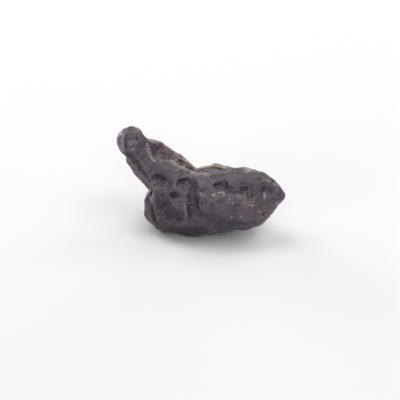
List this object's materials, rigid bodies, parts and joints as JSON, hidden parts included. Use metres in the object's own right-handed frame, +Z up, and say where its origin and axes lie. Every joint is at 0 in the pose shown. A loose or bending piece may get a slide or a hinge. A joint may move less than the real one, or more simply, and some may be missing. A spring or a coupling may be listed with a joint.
{
  "type": "tektite",
  "caption": "Boot-shaped splash of black natural glass: pitted lobe tapering to a raised right tip, with an upswept neck and round knob at the left.",
  "frame": {"origin": "on the ground, under the middle of the stone's box", "axes": "+X along the length, towards the tapered tip; +Y away from the front; +Z up"},
  "size_m": [0.036, 0.0174, 0.0214],
  "materials": {
    "glass_stone": "satin"
  },
  "bodies": {
    "root": {"tektite": "glass_stone"}
  },
  "joints": []
}
